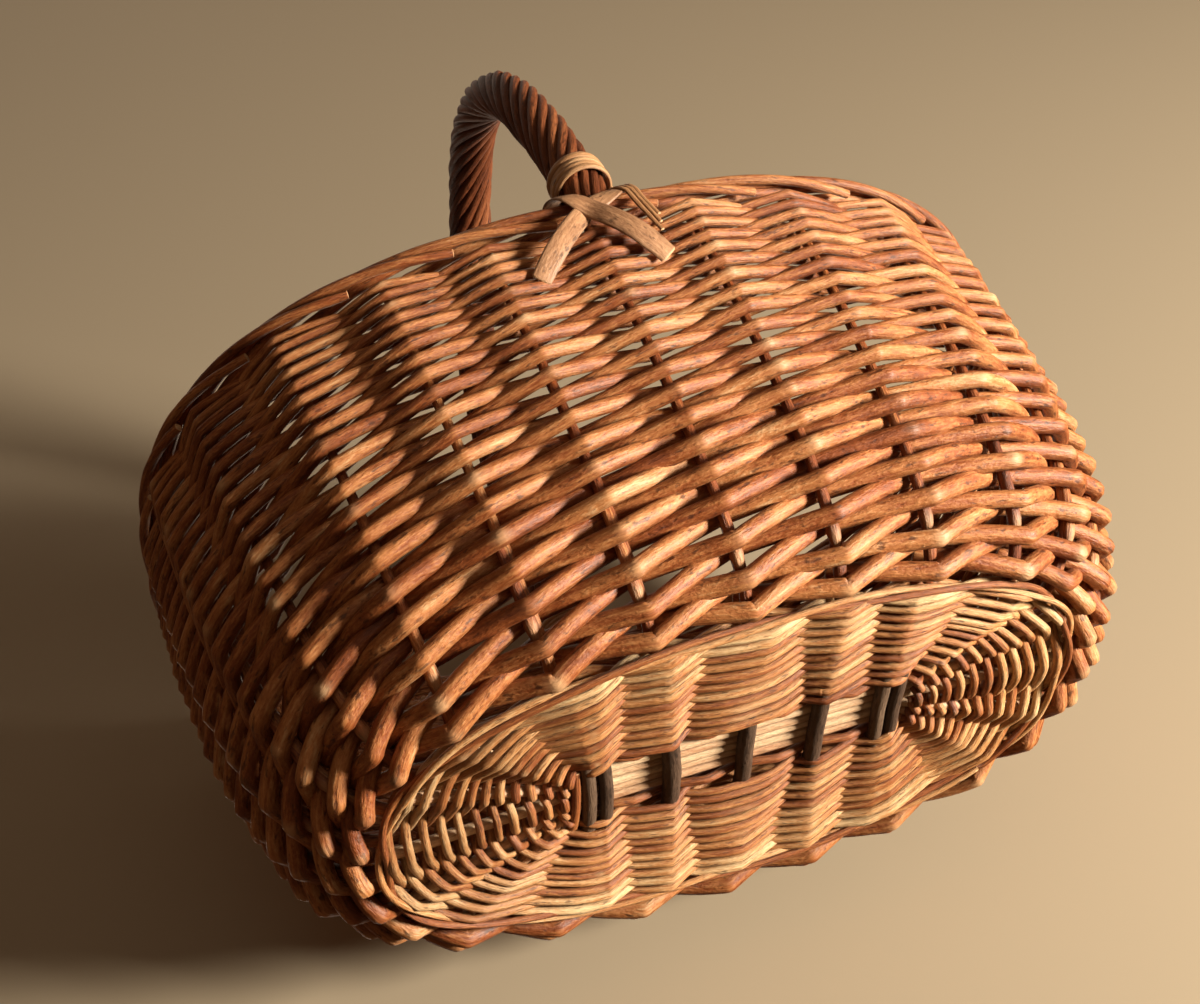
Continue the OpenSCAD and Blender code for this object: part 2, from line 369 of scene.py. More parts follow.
def siding_rod(start):
    """One siding rod from stake number start, from its butt inside the foot of the wall to
    its tip at the rim: path, radius, normal and bare patches."""
    step = path_samples(-1, 2 * ROW_COUNT, STEPS)
    n = len(step)
    row = climb(step)
    rod_d = np.interp(row, np.arange(ROW_COUNT), ROW_D) * rng.normal(1, 0.03)
    front = zigzag(step)
    high = row / (ROW_COUNT - 1)
    out = (STAKE_D * (1 - 0.2 * high) + rod_d) / 2 * (TIGHT + TIGHT_RISE * high) * front
    out += 0.1 * rod_d * np.sin(math.pi * step) + smooth_noise(n, STEPS, 0.25)
    run = np.interp(row, np.arange(ROW_COUNT), ROW_RUN) + smooth_noise(n, STEPS, 0.45)
    run += (LIFT + LIFT_RISE * high) * front
    point, normal, up = wall_frame(start + step, level_at(run))
    tail = np.clip(1 - np.arange(n) / (0.5 * STEPS), 0, 1)
    path = point + normal * (out - TUCK * (tail + tail[::-1]))[:, None]
    radius = rod_d / 2 * (1 + smooth_noise(n, STEPS * 0.8, 0.03)) + knuckles(n, STEPS * 2.6, 0.25)
    return path, radius, normal, crossings(step, 0, SCUFF)


SIDING = [(siding_rod(k), warm_tint()) for k in range(STAKES)]


def weave_wall(rows):
    """The stretches of all siding rods that pass in front of a stake in these rows."""
    rods = Rods()
    begin = 2 * rows[0] * STEPS
    end = 2 * (rows[-1] + 1) * STEPS + 1
    for (path, radius, normal, worn), tint in SIDING:
        rods.sweep(path[begin:end], radius[begin:end], normal[begin:end], tint,
                   worn=worn[begin:end])
    return rods


# ------------------------------------------------------------------ stakes
STAKE_TOP = 0.985       # level where the stakes bend over into the border
SECOND_GAP = 3.0        # from the second row's middle to the cut end of a second stake
SECOND_OUT = 1.5        # how far a second stake lies outside the first


def stakes():
    """The stakes, each with a second one pushed in beside it down to the second row."""
    rods = Rods()
    for i in range(STAKES):
        m = np.linspace(0.01, STAKE_TOP, 44)
        point, normal, up = wall_frame(np.full(len(m), float(i)), m)
        radius = STAKE_D / 2 * np.linspace(1.05, 0.8, len(m)) + knuckles(len(m), 12, 0.25)
        path = point + normal * smooth_noise(len(m), 8, 0.25)[:, None]
        rods.sweep(path, radius, normal, dark_tint() + 0.1, shade=0.8)
        low = level_at(ROW_RUN[1] + SECOND_GAP + rng.normal(0, 0.8))
        m = np.linspace(low, level_at(ROW_RUN[4]), 24)
        point, normal, up = wall_frame(i + rng.normal(0, 0.02) + np.zeros(len(m)), m)
        k = np.arange(len(m))
        radius = STAKE_D / 2 * np.interp(k, [0, 2, 4, 8, 23], [0.7, 1.0, 1.15, 1, 0.8])
        bare = np.interp(k, [0, 3, 6], [0.55, 0.4, 0.0])
        rods.sweep(point + normal * SECOND_OUT, radius, normal, dark_tint() + 0.1, worn=bare)
    return rods


# ------------------------------------------------------------------ base
SHORTS = [box_mm(f"short_stick_{i}") for i in range(1, 8)]
SHORT_X = [float((low[0] + high[0]) / 2) for low, high in SHORTS]
SHORT_D = [float(high[0] - low[0]) for low, high in SHORTS]
LONGS = [box_mm(f"long_stick_{i}") for i in range(1, 6)]
LONG_COUNT = len(LONGS)
LONG_D = 5.0
CROWN = 3.0             # rise of the base's middle above its edge
WEAVE_Z = 7.6           # middle of the woven base's thickness, at its edge
STICK_X = float(np.mean(SHORT_X))       # middle of the sticks
STICK_GAP = 6           # from a short stick's end to the base edge
SPLAY = (0.08, 0.08, -0.05, -0.06, -0.08)       # lean of each column's front half
SHORT_Z = float(SHORTS[3][0][2] + SHORTS[3][1][2]) / 2
BUNDLE_Z = float(LONGS[2][0][2] + LONGS[2][1][2]) / 2 - 2.4     # pressed into the sticks
GAP_HALF = 20.5         # from the middle of the bundle to the first row
FAN_X = (max(SHORT_X) - min(SHORT_X)) / 2 + SHORT_D[0] / 2 + 3
FAN_STEP = math.radians(22)
BASE_ROWS = 11
BASE_ROD_D = 3.5
BASE_TUCK = 3.2         # how far a base rod's ends go in behind their neighbours
BASE_EDGE = 2.5         # from the last row's centre to the base edge
FIRST_RING = 5          # from the fan's start to the first row, along the base
PAIR_HEIGHT = 0.46      # rise of a paired rod between two spokes, in rod thicknesses
SINK_FROM = 14          # across the base, where the short sticks start to sink into the weave
SINK_OVER = 22          # and how far a stick runs while it sinks


def chord(x, a, b, n=SQUARENESS):
    return b * (1 - (abs(x) / a) ** n) ** (1 / n)


def crown(x, y):
    """Height of the base's gentle dome above its edge."""
    r2 = ((x - STICK_X) / BASE_A) ** 2 + (y / BASE_B) ** 2
    return CROWN * np.clip(1 - r2, 0, 1)


def stick_columns():
    """Middle and thickness of each single short stick and each close pair, left to right."""
    pair = SHORT_D[0]
    ends = [((SHORT_X[0] + SHORT_X[1]) / 2, pair), ((SHORT_X[-2] + SHORT_X[-1]) / 2, pair)]
    return [ends[0]] + list(zip(SHORT_X[2:-2], SHORT_D[2:-2])) + [ends[1]]


COLUMNS = stick_columns()
SIDE_SPOKES = len(COLUMNS)


def spoke_lines():
    """Spokes in the order of the weave: start, direction, thickness, each in plan."""
    lines = []
    for x, d in reversed(COLUMNS):
        lines.append(((x, 0.0), (0.0, 1.0), d))
    for k in range(LONG_COUNT):
        j = (LONG_COUNT - 1) / 2 - k
        turn = math.pi - j * FAN_STEP
        lines.append(((STICK_X - FAN_X, j * LONG_D), (math.cos(turn), math.sin(turn)), LONG_D))
    for (x, d), lean in zip(COLUMNS, SPLAY):
        lines.append(((x, 0.0), (-lean, -1.0), d))
    for k in range(LONG_COUNT):
        j = k - (LONG_COUNT - 1) / 2
        turn = j * FAN_STEP
        lines.append(((STICK_X + FAN_X, j * LONG_D), (math.cos(turn), math.sin(turn)), LONG_D))
    return lines


SPOKES = spoke_lines()
PAIR_SPOKES = (0, SIDE_SPOKES - 1, SIDE_SPOKES + LONG_COUNT, 2 * SIDE_SPOKES + LONG_COUNT - 1)


def pair_width(u):
    """How far a rod lies flat over the two sticks of a pair, in spoke spacings."""
    nearest = np.mod(np.round(u), len(SPOKES))
    return np.where(np.isin(nearest, PAIR_SPOKES), 0.11, 0.0)


def base_ring(q):
    """Half-length, half-width, squareness and middle of the base's ring at q, from 0 at the
    bundle to 1 at the edge."""
    a = FAN_X + FIRST_RING + (BASE_A - BASE_EDGE - FAN_X - FIRST_RING) * q
    b = GAP_HALF + (BASE_B - BASE_EDGE - GAP_HALF) * q
    return a, b, 5.0 + (SQUARENESS - 5.0) * min(1.0, q * 1.4), STICK_X * (1 - q)


def crossing(spoke, q):
    """Angle of the base ring q where a spoke crosses it."""
    (x0, y0), (dx, dy), _ = spoke
    a, b, n, middle = base_ring(q)
    low, high = 0.0, 200.0
    for _ in range(40):
        s = (low + high) / 2
        x, y = x0 + dx * s - middle, y0 + dy * s
        inside = (abs(x) / a) ** n + (abs(y) / b) ** n < 1
        low, high = (s, high) if inside else (low, s)
    x, y = x0 + dx * low - middle, y0 + dy * low
    return math.atan2(signed_power(y / b, n / 2), signed_power(x / a, n / 2))


def base_place(q):
    """A function that places points on the base ring q by spoke position and offsets."""
    a, b, n, middle = base_ring(q)
    angle = np.unwrap([crossing(s, q) for s in SPOKES])
    total = np.concatenate([angle, [angle[0] + 2 * math.pi]])

    def centre(u):
        lap = np.floor(u / len(SPOKES))
        t = np.interp(u - lap * len(SPOKES), np.arange(len(total)), total)
        x, y = oval(a, b, t, n)
        x = x + middle
        return np.stack([x, y, WEAVE_Z + crown(x, y)], -1)

    def place(u, height, out):
        point = centre(u)
        along = unit(centre(u + 0.05) - centre(u - 0.05))
        normal = np.broadcast_to(np.array([0.0, 0.0, -1.0]), point.shape)
        outward = np.cross(along, -normal)
        return point + normal * out[:, None] + outward * height[:, None], normal
    return place


def base_stick_d(u):
    """Thickness of the spokes, blended between neighbours."""
    d = np.array([s[2] for s in SPOKES] + [SPOKES[0][2]])
    return np.interp(np.mod(u, len(SPOKES)), np.arange(len(d)), d)


def base_shadow(path):
    """Painted shade: the base rods darken towards the left end of the base."""
    return np.interp(path[:, 0], [-0.95 * BASE_A, -0.68 * BASE_A, -0.48 * BASE_A], [0.45, 0.62, 1])


def base_row(rods, place, first, rod_d):
    """Two rods that change places between spokes, one pass in front of each spoke."""
    for k in (0, 1):
        begin = 2 * rng.integers(0, len(SPOKES) // 2) + first + k + 1
        u = path_samples(begin, len(SPOKES), STEPS) - 0.12
        n = len(u)
        turn = u - first - k
        radius = rod_d / 2 * np.linspace(1.09, 0.89, n) + smooth_noise(n, STEPS * 0.8, rod_d * 0.014)
        radius += knuckles(n, STEPS * 2.6, 0.22) * rod_d / 5
        out = (base_stick_d(u) + rod_d) / 2 * zigzag(turn, pair_width(u))
        out += smooth_noise(n, STEPS, 0.2)
        height = PAIR_HEIGHT * rod_d * zigzag(turn - 0.5, bend=0.2)
        height += smooth_noise(n, STEPS, 0.25)
        tail = np.clip(1 - np.arange(n) / (0.5 * STEPS), 0, 1)
        out -= BASE_TUCK * (tail + tail[::-1])
        height += BASE_TUCK / 2 * (tail[::-1] - tail)
        path, normal = place(u, height, out)
        rods.sweep(path, radius, normal, base_tint(), shade=base_shadow(path),
                   worn=crossings(u, first + k, SCUFF))


def base_weave():
    """Rows from the bundle out to the edge, with slightly thicker rods row by row."""
    rods = Rods()
    for r in range(BASE_ROWS):
        q = r / (BASE_ROWS - 1)
        base_row(rods, base_place(q), r % 2, BASE_ROD_D + 0.06 * r)
    return rods


def short_sticks():
    """Sticks that cross under the bundle and sink into the weave on both sides of it."""
    rods = Rods()
    down = np.tile([0.0, 0.0, -1.0], (40, 1))
    columns = [0, 0, 1, 2, 3, 4, 4]
    for x, d, column in zip(SHORT_X, SHORT_D, columns):
        half = chord(x, BASE_A, BASE_B) - STICK_GAP
        y = np.linspace(-half, half, 40)
        lean = SPLAY[column] * np.minimum(y, 0) + rng.normal(0, 0.01) * y
        deep = WEAVE_Z + crown(x, y)
        z = SHORT_Z + (deep - SHORT_Z) * np.clip((np.abs(y) - SINK_FROM) / SINK_OVER, 0, 1)
        path = np.stack([x + lean, y, z], -1)
        radius = d / 2 * (1 + 0.04 * np.sin(y / 31 + x)) + knuckles(40, 14, 0.25)
        rods.sweep(path, radius, down, rng.uniform(0.3, 0.7), sides=16)
    return rods


def long_sticks():
    """Sticks side by side over the short ones, fanned out towards both ends."""
    rods = Rods()
    for k in range(LONG_COUNT):
        j = k - (LONG_COUNT - 1) / 2
        turn = j * FAN_STEP
        ends = []
        for s in (-1, 1):
            out = np.linspace(0, 1, 24)[1:] * base_tip(s * STICK_X + FAN_X, j * LONG_D, turn)
            x = STICK_X + s * (FAN_X + np.cos(turn) * out)
            y = j * LONG_D + np.sin(turn) * out
            z = BUNDLE_Z + (WEAVE_Z + crown(x, y) - BUNDLE_Z) * np.clip(out / SINK_OVER, 0, 1)
            ends.append(np.stack([x, y, z], -1))
        x = STICK_X + np.linspace(-FAN_X, FAN_X, 40)
        middle = np.stack([x, j * LONG_D + 0 * x, BUNDLE_Z + 0 * x], -1)
        path = np.concatenate([ends[0][::-1], middle, ends[1]])
        path[:, 1] += smooth_noise(len(path), 16, 0.3)
        path[:, 2] += smooth_noise(len(path), 20, 0.4)
        radius = LONG_D / 2 * np.linspace(1.0, 0.9, len(path)) + knuckles(len(path), 22, 0.2)
        rods.sweep(path, radius, np.tile([0.0, 0.0, -1.0], (len(path), 1)), pale_tint() - 0.15)
    return rods


BINDER_R = 1.9
BINDER_Y = 16.2         # from the middle of the bundle, where a binder passes a short stick
BINDER_RISE = 5.4       # above the short sticks' middle there


def binders():
    """Rods laid along both sides of the bundle, behind the short sticks, and one rod's start."""
    rods = Rods()
    count = 90
    x = np.linspace(min(SHORT_X) - 12, max(SHORT_X) + 12, count)
    down = np.tile([0.0, 0.0, -1.0], (count, 1))
    nearest = np.min([np.abs(x - at) for at, d in COLUMNS], axis=0)
    dip = np.clip(nearest / 16, 0, 1) ** 0.8
    for side in (-1, 1):
        y = side * (BINDER_Y - 1.2 * dip) + smooth_noise(count, 14, 0.3)
        z = SHORT_Z + BINDER_RISE - 4.4 * dip + smooth_noise(count, 14, 0.3)
        rods.sweep(np.stack([x, y, z], -1), BINDER_R, down, 0.3)
    y = np.linspace(-17, 19, 30)
    start = np.stack([SHORT_X[0] - 6.6 - 0.04 * y, y, SHORT_Z - 1.5 + 0.006 * y * y], -1)
    rods.sweep(start, 2.0 + 0.02 * y, down[:30], 0.35)
    return rods


TIP_GAP = 3             # from a long stick's tip to the base edge


def base_tip(x0, y0, turn):
    """How far a long stick runs past the bundle before it reaches the base edge."""
    s = np.linspace(0, 120, 400)
    x, y = x0 + np.cos(turn) * s, y0 + np.sin(turn) * s
    inside = (np.abs(x) / BASE_A) ** SQUARENESS + (np.abs(y) / BASE_B) ** SQUARENESS < 1
    return float(s[inside][-1] - TIP_GAP)


EDGE_ROD_R = 1.5
TWINE_STAKES = 4        # stakes from one turn of the two edge rods to the next


def edge_rods():
    """Two long thin rods that twine slowly round the very edge of the base."""
    rods = Rods()
    for k in (0, 1):
        u = np.linspace(0, STAKES, STAKES * 10 + 1)[:-1]
        point, normal, up = wall_frame(u, np.full(len(u), 0.006))
        phase = 2 * math.pi * u / TWINE_STAKES + math.pi * k + smooth_noise(len(u), 40, 0.3)
        out = STAKE_D / 2 + 2.4 + 1.2 * np.cos(phase)
        height = 0.5 + 1.9 * np.sin(phase)
        path = point + normal * out[:, None] + up * height[:, None]
        radius = EDGE_ROD_R + smooth_noise(len(u), 20, 0.1)
        rods.sweep(path, radius, normal, base_tint(), closed=True)
    return rods


# ------------------------------------------------------------------ border
BORDER_ROD_D = 5.8
BORDER_STEPS = 46
BORDER_SPAN = 3.7       # stake spacings that a border rod runs before its cut end


def border():
    """Stake tops rolled over the rim: each comes up inside it and ends low outside it."""
    rods = Rods()
    n = BORDER_STEPS
    f = np.linspace(0, 1, n)
    for i in range(STAKES):
        u = i + BORDER_SPAN * f
        turn = np.radians(np.interp(f, [0, 0.06, 0.2, 0.5, 0.8, 1], [250, 190, 135, 75, 15, -48]))
        turn += smooth_noise(n, 14, 0.05)
        point, normal, up = wall_frame(u, np.full(n, 0.999))
        point[:, 2] = RIM_Z
        out = unit(normal * [1, 1, 0])
        arm = BORDER_R - BORDER_ROD_D / 2 + 0.6 * np.sin(f * math.pi) + rng.normal(0, 0.2)
        path = point + out * (arm * np.cos(turn))[:, None]
        path[:, 2] += arm * np.sin(turn)
        path[:, 2] += np.interp(f, [0, 0.06], [-6, 0])
        ref = out * np.cos(turn)[:, None] + np.array([0, 0, 1.0]) * np.sin(turn)[:, None]
        radius = BORDER_ROD_D / 2 * np.linspace(1.0, 0.72, n) + knuckles(n, 18, 0.2)
        rods.sweep(path, radius, ref, warm_tint())
    return rods


# ------------------------------------------------------------------ handle
def foot_middle(node):
    low, high = box_mm(node)
    return (low + high) / 2


FOOT = {-1: foot_middle("collar_front"), 1: foot_middle("collar_rear")}
CORE_R = 6.0
BOW_FOOT = BORDER_HIGH[2]
BOW_HEIGHT = HANDLE_TOP - CORE_R - BOW_FOOT
BOW_SQUARENESS = 2.9
STRANDS = 12
STRAND_D = 5.0
ROPE_LEAD = 150.0       # length of the handle for one turn of a strand
STRAND_TUCK = 6         # how far the strands' ends go down into the border


def bow(count):
    """The handle's centre line, from the front foot to the rear one, evenly spaced."""
    t = np.linspace(0, math.pi, 1200)
    across = signed_power(np.cos(t), 2 / BOW_SQUARENESS)
    z = BOW_FOOT + BOW_HEIGHT * np.abs(np.sin(t)) ** (2 / BOW_SQUARENESS)
    run = np.concatenate([[0], np.cumsum(np.hypot(RIM_B * np.diff(across), np.diff(z)))])
    even = np.linspace(0, run[-1], count)
    across = np.interp(even, run, across)
    x = (FOOT[-1][0] + FOOT[1][0]) / 2 + (FOOT[-1][0] - FOOT[1][0]) / 2 * across
    return np.stack([x, -RIM_B * across, np.interp(even, run, z)], -1), even


def handle_core():
    rods = Rods()
    path, run = bow(90)
    rods.sweep(path, CORE_R + 0.6, np.tile([1.0, 0, 0], (90, 1)), 0.3)
    return rods


def handle_roping():
    """Strands wound round the core in one direction, side by side."""
    rods = Rods()
    count = 200
    path, run = bow(count)
    tangent = unit(np.gradient(path, axis=0))
    sideways = np.tile([1.0, 0.0, 0.0], (count, 1))
    inward = np.cross(tangent, sideways)
    end = np.minimum(np.arange(count), np.arange(count)[::-1])
    tuck = np.clip(1 - end / 7, 0, 1)
    for n in range(STRANDS):
        angle = 2 * math.pi * (n / STRANDS - run / ROPE_LEAD) + smooth_noise(count, 30, 0.03)
        arm = (CORE_R + STRAND_D / 2 + 0.3) * (1 - 0.25 * tuck) + smooth_noise(count, 25, 0.3)
        spoke = inward * np.cos(angle)[:, None] + sideways * np.sin(angle)[:, None]
        radius = STRAND_D / 2 * (1.03 - 0.08 * np.linspace(0, 1, count)) + knuckles(count, 40, 0.2)
        strand = path + spoke * arm[:, None]
        strand[:, 2] -= STRAND_TUCK * tuck
        rods.sweep(strand, radius, spoke, dark_tint() + 0.12, cut=0.0)
    return rods


# ------------------------------------------------------------------ collars and cross bands
COLLAR_TURNS = 4
COLLAR_TILT = 0.15      # rise of the skein per unit of the way towards the foot's outer side


def collar(side):
    """A skein of split willow wound round the foot of the handle."""
    rods = Rods()
    low, high = box_mm("collar_front" if side < 0 else "collar_rear")
    n = 46 * COLLAR_TURNS
    f = np.linspace(0, 1, n)
    turn = 2 * math.pi * COLLAR_TURNS * f
    arm = (high[0] - low[0]) / 2 - 0.9
    width = (high[2] - low[2]) / COLLAR_TURNS
    z = low[2] + width * 0.5 + (high[2] - low[2] - width) * f + 1.2 * np.sin(turn)
    ref = np.stack([np.cos(turn), np.sin(turn), 0 * turn], -1)
    foot = FOOT[side]
    path = np.stack([foot[0] + arm * np.cos(turn), foot[1] + arm * np.sin(turn), z], -1)
    path += ref * smooth_noise(n, 20, 0.3)[:, None]
    path[:, 2] += side * COLLAR_TILT * arm * np.sin(turn) + smooth_noise(n, 26, 0.5)
    rods.sweep(path, width * (0.5 + smooth_noise(n, 30, 0.05)), ref, 0.55, flat=0.5, sides=12)
    return rods


# Each band from its cut end on the wall, as (x, height above the rim's middle), then over
# the border, as (x, angle round it), for a handle foot at x = 0.
BANDS = {
    1: ([(17, -38), (8, -27), (0, -16)],
        [(-6, -32), (-10, -6), (-13, 20), (-15.5, 46), (-17.5, 72), (-19, 100)]),
    -1: ([(-38, -34), (-27, -24), (-16, -13)],
         [(-8, -32), (0, -8), (7, 16), (13, 40), (17.5, 66), (20, 96)]),
}


def tail_offset(z):
    """How far a band's tail leans in with the wall, and tucks in at its cut end."""
    return (0.12 * z + 2) * (z < -20) - 6 * (z < -33)


def cross_band(side, lean):
    """A flat split band from the collar over the border and down the wall."""
    rods = Rods()
    lift = BORDER_R + (3.4 if lean > 0 else 1.4)
    tail, over = BANDS[lean]
    foot = FOOT[side][0]
    knots = [(foot + x, side * (RIM_B + lift + tail_offset(z)), RIM_Z + z, -32.0)
             for x, z in tail]
    knots += [(foot + x, side * (RIM_B + lift * math.cos(math.radians(t))),
               RIM_Z + lift * math.sin(math.radians(t)), t) for x, t in over]
    knots = np.array(knots)
    f = np.linspace(0, len(knots) - 1, 70)
    path = np.stack([np.interp(f, np.arange(len(knots)), knots[:, c]) for c in range(4)], -1)
    for _ in range(16):
        path[1:-1] = (path[:-2] + 2 * path[1:-1] + path[2:]) / 4
    turn = np.radians(path[:, 3])
    ref = np.stack([0 * turn, side * np.cos(turn), np.sin(turn)], -1)
    half = np.interp(np.arange(70), [0, 6, 50, 69], [4.6, 5.0, 4.4, 3.4])
    rods.sweep(path[:, :3], half, ref, 0.5, flat=0.2, sides=14)
    return rods


def cross_band_ends(side):
    """Thin split ends of the collar's skein, hanging down beside the right-hand band."""
    rods = Rods()
    foot = FOOT[side][0]
    for k in range(3):
        f = np.linspace(0, 1, 30)
        x = foot + 9 + 2.6 * k + (9 - 1.5 * k) * f + smooth_noise(30, 10, 0.3)
        turn = np.radians(np.interp(f, [0, 0.35, 0.6, 1], [60, 15, -8, -12]))
        lift = BORDER_R + 2.2
        drop = (26 - 5 * k) * np.clip(f - 0.5, 0, 1)
        path = np.stack([x, side * (RIM_B + lift * np.cos(turn) - 0.12 * drop),
                         RIM_Z + lift * np.sin(turn) - 2 * drop], -1)
        ref = np.stack([0 * turn, side * np.cos(turn), np.sin(turn)], -1)
        rods.sweep(path, np.linspace(1.6, 1.0, 30), ref, 0.4, flat=0.6)
    return rods


# ------------------------------------------------------------------ materials
def ramp(nodes, stops):
    """A colour ramp node with these (position, colour) stops."""
    node = nodes.new("ShaderNodeValToRGB")
    for _ in range(len(stops) - 2):
        node.color_ramp.elements.new(0.5)
    for element, (at, colour) in zip(node.color_ramp.elements, stops):
        element.position = at
        element.color = (*colour, 1)
    return node


def willow(name, stops, cut_colour, roughness=0.52, bump=0.8, fleck=0.7, sheen=0.5):
    """Varnished willow: colour by rod, streaks along it, dark flecks and pale cut ends."""
    material = bpy.data.materials.new(name)
    material.use_nodes = True
    nodes, links = material.node_tree.nodes, material.node_tree.links
    shader = nodes["Principled BSDF"]
    rod = nodes.new("ShaderNodeAttribute")
    rod.attribute_name = "rod"
    parts = nodes.new("ShaderNodeSeparateColor")
    links.new(rod.outputs["Color"], parts.inputs["Color"])
    grain = nodes.new("ShaderNodeAttribute")
    grain.attribute_name = "grain"

    def noise(scale_along, scale_round, detail=3.0, roughness_=0.55):
        mapping = nodes.new("ShaderNodeMapping")
        mapping.inputs["Scale"].default_value = (scale_along, scale_round, scale_round)
        links.new(grain.outputs["Vector"], mapping.inputs["Vector"])
        texture = nodes.new("ShaderNodeTexNoise")
        texture.inputs["Scale"].default_value = 1.0
        texture.inputs["Detail"].default_value = detail
        texture.inputs["Roughness"].default_value = roughness_
        links.new(mapping.outputs["Vector"], texture.inputs["Vector"])
        return texture.outputs["Fac"]

    def maths(operation, a, b, clamp=False):
        node = nodes.new("ShaderNodeMath")
        node.operation = operation
        node.use_clamp = clamp
        for socket, value in zip(node.inputs, (a, b)):
            if isinstance(value, (int, float)):
                socket.default_value = value
            else:
                links.new(value, socket)
        return node.outputs[0]

    patches = noise(30, 110)
    streaks = noise(90, 800, 5.0, 0.65)
    mottle = noise(420, 1200, 3.0, 0.6)
    tone = maths("ADD", parts.outputs["Red"], maths("MULTIPLY", maths("SUBTRACT", patches, 0.5), 0.7))
    tone = maths("ADD", tone, maths("MULTIPLY", maths("SUBTRACT", streaks, 0.5), 0.9))
    tone = maths("ADD", tone, maths("MULTIPLY", maths("SUBTRACT", mottle, 0.5), 0.5), clamp=True)
    colour = ramp(nodes, stops)
    links.new(tone, colour.inputs["Fac"])

    def mix(kind, fac, a, b):
        node = nodes.new("ShaderNodeMix")
        node.data_type = "RGBA"
        node.blend_type = kind
        for socket, value in ((node.inputs[0], fac), (node.inputs[6], a), (node.inputs[7], b)):
            if isinstance(value, (int, float)):
                socket.default_value = value
            elif isinstance(value, tuple):
                socket.default_value = (*value, 1)
            else:
                links.new(value, socket)
        return node.outputs[2]

    flecks = ramp(nodes, [(0.0, (0, 0, 0)), (0.58, (0, 0, 0)), (0.68, (1, 1, 1))])
    links.new(noise(190, 620, 3.0), flecks.inputs["Fac"])
    dark = tuple(0.35 * c for c in stops[0][1])
    out = mix("MIX", maths("MULTIPLY", flecks.outputs["Color"], fleck), colour.outputs["Color"], dark)
    # Painted shade from the rod's green channel: darker sides between rods and a darker left end of
    # the base; on the stakes also a darker bark tone.
    painted_shade_and_tone = maths("MULTIPLY", maths("SUBTRACT", 1.0, parts.outputs["Green"], True), 0.65)
    out = mix("MIX", painted_shade_and_tone, out, dark)
    out = mix("MIX", parts.outputs["Blue"], out, cut_colour)
    links.new(out, shader.inputs["Base Color"])
    shine = maths("ADD", maths("MULTIPLY", mottle, 0.4), roughness - 0.2)
    links.new(shine, shader.inputs["Roughness"])
    shader.inputs["Specular IOR Level"].default_value = sheen
    shader.inputs["Coat Weight"].default_value = 0.08
    shader.inputs["Coat Roughness"].default_value = 0.35
    relief = nodes.new("ShaderNodeBump")
    relief.inputs["Strength"].default_value = bump
    relief.inputs["Distance"].default_value = 0.0009
    links.new(maths("ADD", streaks, maths("MULTIPLY", mottle, 0.7)), relief.inputs["Height"])
    links.new(relief.outputs["Normal"], shader.inputs["Normal"])
    return material


RED_WILLOW = [(0.0, (0.085, 0.014, 0.003)), (0.35, (0.28, 0.071, 0.014)),
              (0.62, (0.53, 0.212, 0.067)), (1.0, (0.82, 0.54, 0.28))]
BASE_WILLOW = [(0.0, (0.11, 0.022, 0.005)), (0.35, (0.33, 0.098, 0.024)),
               (0.62, (0.58, 0.265, 0.088)), (1.0, (0.86, 0.62, 0.33))]
STICK_PALE = [(0.0, (0.26, 0.10, 0.05)), (0.4, (0.50, 0.26, 0.13)), (1.0, (0.84, 0.62, 0.38))]
STICK_BARK = [(0.0, (0.035, 0.020, 0.012)), (0.5, (0.10, 0.058, 0.036)), (1.0, (0.20, 0.13, 0.08))]
HANDLE_DARK = [(0.0, (0.06, 0.012, 0.003)), (0.4, (0.18, 0.050, 0.016)), (1.0, (0.42, 0.16, 0.06))]
SKEIN = [(0.0, (0.22, 0.08, 0.03)), (0.5, (0.48, 0.25, 0.11)), (1.0, (0.78, 0.52, 0.28))]
BAND = [(0.0, (0.14, 0.05, 0.022)), (0.5, (0.44, 0.23, 0.115)), (1.0, (0.68, 0.42, 0.24))]
CUT = (0.60, 0.38, 0.20)

MATERIALS = {
    "siding_weavers": willow("siding_willow", RED_WILLOW, CUT),
    "base_weavers": willow("base_willow", BASE_WILLOW, CUT),
    "stakes": willow("stake_willow", RED_WILLOW, CUT),
    "pale_sticks": willow("pale_stick", STICK_PALE, CUT, fleck=0.35),
    "bark_sticks": willow("bark_stick", STICK_BARK, CUT, roughness=0.62, sheen=0.3),
    "border_rods": willow("border_willow", RED_WILLOW, CUT),
    "handle_rods": willow("handle_willow", HANDLE_DARK, CUT, roughness=0.55, sheen=0.3),
    "skein": willow("skein_willow", SKEIN, CUT, bump=0.5),
    "split_bands": willow("split_willow", BAND, CUT, bump=0.5),
}


# ------------------------------------------------------------------ assembly
def place_piece(name, rods, slot, nodes):
    """Makes the mesh of a piece, attaches it to the root body and hides its CAD nodes."""
    piece = rods.build(name, MATERIALS[slot])
    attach(piece, "root")
    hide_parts(*nodes)


UPSETT_TOP = 0.30       # wall levels of the upsett's top and of the highest siding band's
SIDING_TOP = 0.972
BAND_TOPS = [UPSETT_TOP + (SIDING_TOP - UPSETT_TOP) * k / 4 for k in range(5)]


def rows_between(low, high):
    """Siding rows whose wall level is in this range."""
    return [r for r in range(ROW_COUNT) if low <= level_at(ROW_RUN[r]) < high]


